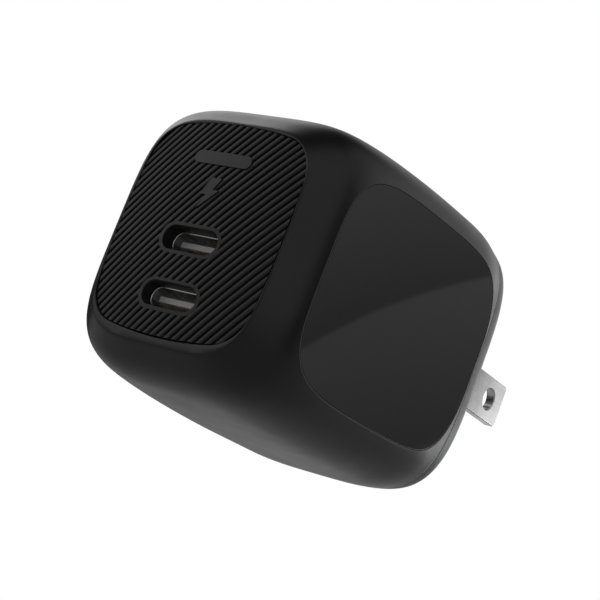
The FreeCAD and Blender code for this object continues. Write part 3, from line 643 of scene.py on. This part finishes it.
def blade_hole():
    """Tool for the round hole, with a small chamfer on both faces."""
    x_in, x_out = BLADE_LO[0], BLADE_HI[0]
    profile = [
        (x_in - HOLE_PAST, HOLE_SINK + HOLE_PAST), (x_in, HOLE_SINK), (x_in + HOLE_SINK, 0.0),
        (x_out - HOLE_SINK, 0.0), (x_out, HOLE_SINK), (x_out + HOLE_PAST, HOLE_SINK + HOLE_PAST)]
    rings = [circle_x(PRONG_HOLE_R + growth, x, PRONG_HOLE_Y, 0.0) for x, growth in profile]
    return solid_from_rings("hole", rings)


def blade_root():
    """Round end of the blade inside the rotor, as wide as the neck."""
    x_in, x_out = BLADE_LO[0], BLADE_HI[0]
    root = cylinder_x(
        "root_disc", ROTOR_R - ROOT_INSET, x_in + ROOT_SIDE, x_out - ROOT_SIDE, PIVOT_Y, PIVOT_Z)
    back_y, front_y = PIVOT_Y - ROTOR_R - PAST, PIVOT_Y + ROOT_OVERLAP
    band = block("band", x_in - PAST, x_out + PAST, back_y, front_y, *NECK_Z)
    return combine(root, band, "INTERSECT")


def prong(name, side):
    """Flat blade with chamfered tip, rounded edges, a hole, and a narrow root inside the rotor."""
    loop = blade_loop()
    x_in, x_out = BLADE_LO[0], BLADE_HI[0]
    faces = [(x_in + BLADE_EDGE * d, a) for a, d in FILLET[::-1]]
    faces += [(x_out - BLADE_EDGE * d, a) for a, d in FILLET]
    rings = [[(x, y, z) for y, z in drawn_in(loop, BLADE_EDGE * share)] for x, share in faces]
    blade = solid_from_rings(name, rings)
    cut(blade, blade_hole())
    combine(blade, blade_root(), "UNION")
    pin_r = PIN_R + BLADE_PIN_GAP
    cut(blade, cylinder_x("pin_hole", pin_r, x_in - PAST, x_out + PAST, PIVOT_Y, PIVOT_Z, SMALL_ROUND))
    if side < 0:
        blade.data.transform(Matrix.Scale(-1, 4, Vector((1, 0, 0))))
    return shaded(outward(blade))


# ---------- materials ----------
class Finish:
    """A Principled material with object-space helpers; sizes of grain are in millimetres."""

    def __init__(self, name, roughness, metallic=0.0, **sockets):
        self.material = bpy.data.materials.new(name)
        self.material.use_nodes = True
        self.tree = self.material.node_tree
        self.shader = self.tree.nodes["Principled BSDF"]
        self.shader.inputs["Metallic"].default_value = metallic
        self.shader.inputs["Roughness"].default_value = roughness
        for socket, value in sockets.items():
            self.shader.inputs[socket.replace("_", " ")].default_value = value
        self.coordinates = self.tree.nodes.new("ShaderNodeTexCoord").outputs["Object"]

    def link(self, a, b):
        self.tree.links.new(a, b)

    def grain(self, size, detail=3.0, stretch=(1, 1, 1), rough=0.55):
        """Noise with features of about size millimetres, stretched along the axes."""
        mapping = self.tree.nodes.new("ShaderNodeMapping")
        mapping.inputs["Scale"].default_value = stretch
        self.link(self.coordinates, mapping.inputs["Vector"])
        noise = self.tree.nodes.new("ShaderNodeTexNoise")
        noise.inputs["Scale"].default_value = 1 / (size * MM)
        noise.inputs["Detail"].default_value = detail
        noise.inputs["Roughness"].default_value = rough
        self.link(mapping.outputs["Vector"], noise.inputs["Vector"])
        return noise.outputs["Fac"]

    def spread(self, value, low, high, start=0.3, end=0.7):
        node = self.tree.nodes.new("ShaderNodeMapRange")
        node.inputs["From Min"].default_value = start
        node.inputs["From Max"].default_value = end
        node.inputs["To Min"].default_value = low
        node.inputs["To Max"].default_value = high
        self.link(value, node.inputs["Value"])
        return node.outputs["Result"]

    def colour(self, value, low, high, start=0.35, end=0.65):
        ramp = self.tree.nodes.new("ShaderNodeValToRGB")
        ramp.color_ramp.elements[0].position = start
        ramp.color_ramp.elements[1].position = end
        ramp.color_ramp.elements[0].color = (*low, 1)
        ramp.color_ramp.elements[1].color = (*high, 1)
        self.link(value, ramp.inputs["Fac"])
        self.link(ramp.outputs["Color"], self.shader.inputs["Base Color"])

    def roughness(self, value, low, high):
        self.link(self.spread(value, low, high), self.shader.inputs["Roughness"])

    def bump(self, value, depth, strength=1.0):
        node = self.tree.nodes.new("ShaderNodeBump")
        node.inputs["Distance"].default_value = depth * MM
        node.inputs["Strength"].default_value = strength
        self.link(value, node.inputs["Height"])
        self.link(node.outputs["Normal"], self.shader.inputs["Normal"])


def plastic(name, low, high, roughness, grain=0.12, depth=0.004, patch=6.0, **sockets):
    """Moulded plastic: fine spark texture, faint patches of colour and of sheen."""
    finish = Finish(name, roughness, **sockets)
    finish.colour(finish.grain(patch, 4.0), low, high)
    finish.roughness(finish.grain(patch * 0.6, 3.0), roughness * 0.93, roughness * 1.07)
    finish.bump(finish.grain(grain, 2.0), depth)
    return finish.material


def metal(name, low, high, roughness, stretch=(1, 0.06, 1), grain=0.15, depth=0.002):
    """Rolled or drawn metal: fine lines along Y, faint patches."""
    finish = Finish(name, roughness, 1.0)
    finish.colour(finish.grain(2.5, 3.0), low, high)
    finish.roughness(finish.grain(grain, 4.0, stretch), roughness - 0.05, roughness + 0.07)
    finish.bump(finish.grain(grain, 3.0, stretch), depth)
    return finish.material


def nickel(name):
    """Plated blade: bright and fine-grained, with painted shade darkening its colour towards the root by
    the body.
    """
    finish = Finish(name, 0.24, 1.0)
    axes = finish.tree.nodes.new("ShaderNodeSeparateXYZ")
    finish.link(finish.coordinates, axes.inputs["Vector"])
    # painted shade: the base colour falls to near black towards the root, where the body shades the blade
    root_shade_fade = finish.spread(axes.outputs["Y"], 0.0, 0.85, ROOT_SHADE_SPAN[0] * MM, ROOT_SHADE_SPAN[1] * MM)
    patch = finish.spread(finish.grain(2.5, 3.0), 0.0, 0.15)
    both = finish.tree.nodes.new("ShaderNodeMath")
    finish.link(root_shade_fade, both.inputs[0])
    finish.link(patch, both.inputs[1])
    finish.colour(both.outputs["Value"], grey(0.03), grey(0.78), 0.0, 1.0)
    finish.roughness(finish.grain(0.3, 3.0, (1, 0.06, 1)), 0.23, 0.27)
    finish.bump(finish.grain(0.3, 2.0, (1, 0.06, 1)), 0.0003)
    return finish.material


def grey(value):
    return (value, value, value)


def tint(value, red, green, blue):
    return (value * red, value * green, value * blue)


COOL = (0.92, 1.0, 1.03)             # shares of red, green and blue
NAVY = (0.7, 0.8, 1.6)


def make_finishes():
    """One material for each slot of the record."""
    return {
        "shell_matte": plastic("shell_matte", grey(0.0055), grey(0.0075), 0.34, 0.16, 0.003),
        "cap_matte": plastic("cap_matte", tint(0.058, *COOL), tint(0.068, *COOL), 0.4, 0.16, 0.004),
        "panel_matte": plastic("panel_matte", grey(0.009), grey(0.0125), 0.42, 0.12, 0.003),
        "side_gloss": plastic("side_gloss", grey(0.0035), grey(0.005), 0.025, 2.4, 0.00005, 9.0),
        "mark_gloss": plastic("mark_gloss", grey(0.006), grey(0.009), 0.24, 0.2, 0.002),
        "prong_nickel": nickel("prong_nickel"),
        "port_steel": metal("port_steel", grey(0.78), grey(0.86), 0.2),
        "tongue_plastic": plastic("tongue_plastic", grey(0.66), grey(0.72), 0.4, 0.1, 0.001),
        "contact_gold": metal("contact_gold", (0.72, 0.5, 0.2), (0.8, 0.58, 0.26), 0.25),
        "rotor_plastic": plastic("rotor_plastic", grey(0.01), grey(0.014), 0.42),
        "pin_steel": metal("pin_steel", grey(0.5), grey(0.6), 0.25, (0.06, 1, 1)),
        "spring_bronze": metal("spring_bronze", (0.55, 0.33, 0.16), (0.64, 0.4, 0.2), 0.3),
        "lead_red": plastic("lead_red", (0.3, 0.012, 0.01), (0.38, 0.02, 0.015), 0.4),
        "board_green": plastic("board_green", (0.01, 0.09, 0.03), (0.015, 0.12, 0.045), 0.35, 0.5, 0.01),
        "sheet_amber": plastic("sheet_amber", (0.4, 0.2, 0.03), (0.48, 0.26, 0.05), 0.3),
        "ferrite_grey": plastic("ferrite_grey", grey(0.03), grey(0.045), 0.5, 0.2, 0.012),
        "bobbin_black": plastic("bobbin_black", grey(0.012), grey(0.016), 0.45),
        "winding_copper": metal("winding_copper", (0.6, 0.2, 0.08), (0.72, 0.28, 0.12), 0.3, (1, 1, 0.2)),
        "can_sleeve": plastic("can_sleeve", tint(0.02, *NAVY), tint(0.03, *NAVY), 0.35),
        "can_bare": metal("can_bare", grey(0.6), grey(0.7), 0.3),
        "film_yellow": plastic("film_yellow", (0.6, 0.4, 0.03), (0.7, 0.48, 0.05), 0.4),
        "chip_black": plastic("chip_black", grey(0.015), grey(0.02), 0.5, 0.15, 0.008),
        "spreader_alloy": metal("spreader_alloy", grey(0.6), grey(0.7), 0.35),
        "pad_grey": plastic("pad_grey", grey(0.22), grey(0.27), 0.7, 0.4, 0.02),
    }


FINISHES = make_finishes()


def dress_cad_nodes():
    """Each CAD node gets the material of its own slot in the record."""
    for subpart in frame["record"]["subparts"]:
        obj = frame["nodes"][subpart["node"]]
        obj.data.materials.clear()
        obj.data.materials.append(FINISHES[subpart["material_slot"]])


# ---------- stage ----------
def make_floor():
    """Large pale disc under the charger, below the camera."""
    turns = np.arange(FLOOR_POINTS) * 2 * math.pi / FLOOR_POINTS
    rings = [[(r * math.cos(t), r * math.sin(t), z) for t in turns] for r, z in FLOOR_RINGS]
    floor = solid_from_rings("floor", rings)
    floor.location = (0, -0.5 * DEPTH * MM, FLOOR_Z)
    finish = Finish("floor_pale", 0.6)
    finish.colour(finish.grain(60.0, 4.0), grey(0.52), grey(0.56))
    finish.bump(finish.grain(4.0, 3.0), 0.02)
    floor.data.materials.append(finish.material)
    shaded(floor)


def make_world():
    """White to the camera; for light and reflections a dim room with soft bright areas."""
    world = bpy.data.worlds.new("studio")
    bpy.context.scene.world = world
    world.use_nodes = True
    tree = world.node_tree
    tree.nodes.clear()
    direction = tree.nodes.new("ShaderNodeTexCoord").outputs["Generated"]

    def cosine(towards):
        node = tree.nodes.new("ShaderNodeVectorMath")
        node.operation = "DOT_PRODUCT"
        node.inputs[1].default_value = Vector(towards).normalized()
        tree.links.new(direction, node.inputs[0])
        return node.outputs["Value"]

    def ramp(value, start, end, low, high, kind="SMOOTHSTEP"):
        node = tree.nodes.new("ShaderNodeMapRange")
        node.interpolation_type = kind
        for socket, number in zip(("From Min", "From Max", "To Min", "To Max"), (start, end, low, high)):
            node.inputs[socket].default_value = number
        tree.links.new(value, node.inputs["Value"])
        return node.outputs["Result"]

    def combined(a, b, operation):
        node = tree.nodes.new("ShaderNodeMath")
        node.operation = operation
        tree.links.new(a, node.inputs[0])
        tree.links.new(b, node.inputs[1])
        return node.outputs["Value"]

    towards, edge, outer, step, fade = SCREEN
    inward = cosine(towards)
    screen = ramp(inward, edge - fade, edge, outer, outer - step, "LINEAR")
    border = ramp(inward, edge - SCREEN_BLUR, edge + SCREEN_BLUR, 0.0, step, "LINEAR")
    screen = combined(screen, border, "ADD")
    screen = combined(screen, ramp(inward, edge, edge + fade, 0.0, -step, "LINEAR"), "ADD")
    screen = combined(screen, ramp(inward, *SCREEN_HEART), "ADD")
    room = combined(screen, ramp(inward, *SCREEN_REACH, 0.0, 1.0), "MULTIPLY")
    for towards, start, end, strength in SOFT_AREAS:
        room = combined(room, ramp(cosine(towards), start, end, 0.0, strength), "ADD")
    soft = tree.nodes.new("ShaderNodeBackground")
    tree.links.new(room, soft.inputs["Strength"])
    plain = tree.nodes.new("ShaderNodeBackground")
    plain.inputs["Color"].default_value = (1, 1, 1, 1)
    plain.inputs["Strength"].default_value = 1.0
    path = tree.nodes.new("ShaderNodeLightPath")
    mix = tree.nodes.new("ShaderNodeMixShader")
    tree.links.new(path.outputs["Is Camera Ray"], mix.inputs["Fac"])
    tree.links.new(soft.outputs["Background"], mix.inputs[1])
    tree.links.new(plain.outputs["Background"], mix.inputs[2])
    output = tree.nodes.new("ShaderNodeOutputWorld")
    tree.links.new(mix.outputs["Shader"], output.inputs["Surface"])


def make_floor_lamp():
    """Soft lamp that lights the floor; it is kept out of reflections."""
    light = bpy.data.lights.new("floor_lamp", "AREA")
    light.energy = LAMP_POWER
    light.shape = "SQUARE"
    light.size = LAMP_SIZE
    lamp = bpy.data.objects.new("floor_lamp", light)
    bpy.context.scene.collection.objects.link(lamp)
    lamp.location = LAMP_AT
    aim = Vector(LAMP_AIM) - Vector(LAMP_AT)
    lamp.rotation_mode = "QUATERNION"
    lamp.rotation_quaternion = aim.to_track_quat("-Z", "Y")
    lamp.visible_glossy = False


def make_camera():
    """Long lens below the charger, turned on its axis as the charger is seen tilted."""
    camera = bpy.data.objects.new("camera", bpy.data.cameras.new("camera"))
    bpy.context.scene.collection.objects.link(camera)
    bpy.context.scene.camera = camera
    camera.location = CAMERA_AT
    aim = Vector(CAMERA_AIM) - Vector(CAMERA_AT)
    camera.rotation_mode = "QUATERNION"
    turn = Matrix.Rotation(math.radians(CAMERA_ROLL), 3, "Z").to_quaternion()
    camera.rotation_quaternion = aim.to_track_quat("-Z", "Y") @ turn
    camera.data.sensor_width = 36.0
    camera.data.lens = CAMERA_LENS
    camera.data.clip_start = 0.01
    camera.data.clip_end = 20.0


CAMERA_AT = (0.137114, -0.202539, -0.046961)
CAMERA_AIM = (-0.001218, -0.028035, -0.001633)
CAMERA_ROLL = 21.149
CAMERA_LENS = 102.77
FLOOR_Z = -0.1
FLOOR_POINTS = 96
FLOOR_RINGS = [(0.0004, 0.0), (0.15, 0.0), (0.45, 0.0), (0.9, 0.0), (0.91, -0.01)]   # (radius, height)
# round screen behind and to the right: middle, cosine of its edge, brightness outside, step, fade
SCREEN = ((0.4, 0.916, -0.0186), 0.9516, 0.52, 0.25, 0.021)
SCREEN_BLUR = 0.0003
SCREEN_HEART = (0.973, 0.985, 0.0, 3.2)
SCREEN_REACH = (0.55, 0.85)
# (towards, cosine where it starts, cosine where it is full, strength)
SOFT_AREAS = [
    ((0.0, 0.0, 1.0), -2.0, -1.5, 0.03),
    ((-0.42, 0.83, 0.36), 0.84, 0.985, 0.7),
    ((0.08, 0.98, 0.1), 0.9, 0.98, 0.9),
    ((-0.75, 0.3, 0.55), 0.92, 0.985, 1.7),
    ((0.55, -0.6, 0.5), 0.6, 0.95, 0.55),
    ((0.5, 0.4, 0.77), 0.8, 0.97, 0.38),
    ((-0.8, -0.55, 0.35), 0.76, 0.99, 0.9),
]
LAMP_AT, LAMP_AIM = (-0.34, 0.42, 0.1), (-0.16, 0.24, -0.1)
LAMP_SIZE, LAMP_POWER = 0.2, 0.9

place(shell_body(), "housing", "shell_matte", ["main_shell"])
place(cap_body(), "housing", "cap_matte", ["rear_cap"])
place(ribbed_panel(), "housing", "panel_matte", ["front_panel"])
place(raised_marks(), "housing", "mark_gloss", ["panel_marks"])
place(gloss_panel("gloss_right", 1), "housing", "side_gloss", ["side_panel_right"])
place(gloss_panel("gloss_left", -1), "housing", "side_gloss", ["side_panel_left"])
place(prong("blade_right", 1), "prongs", "prong_nickel", ["prong_right"])
place(prong("blade_left", -1), "prongs", "prong_nickel", ["prong_left"])
for port, port_z in PORTS.items():
    place(usb_shell("port_sleeve_" + port, port_z), "housing", "port_steel", ["usb_shell_" + port])
dress_cad_nodes()
make_floor()
make_world()
make_floor_lamp()
make_camera()
bpy.context.scene.view_settings.view_transform = "Standard"
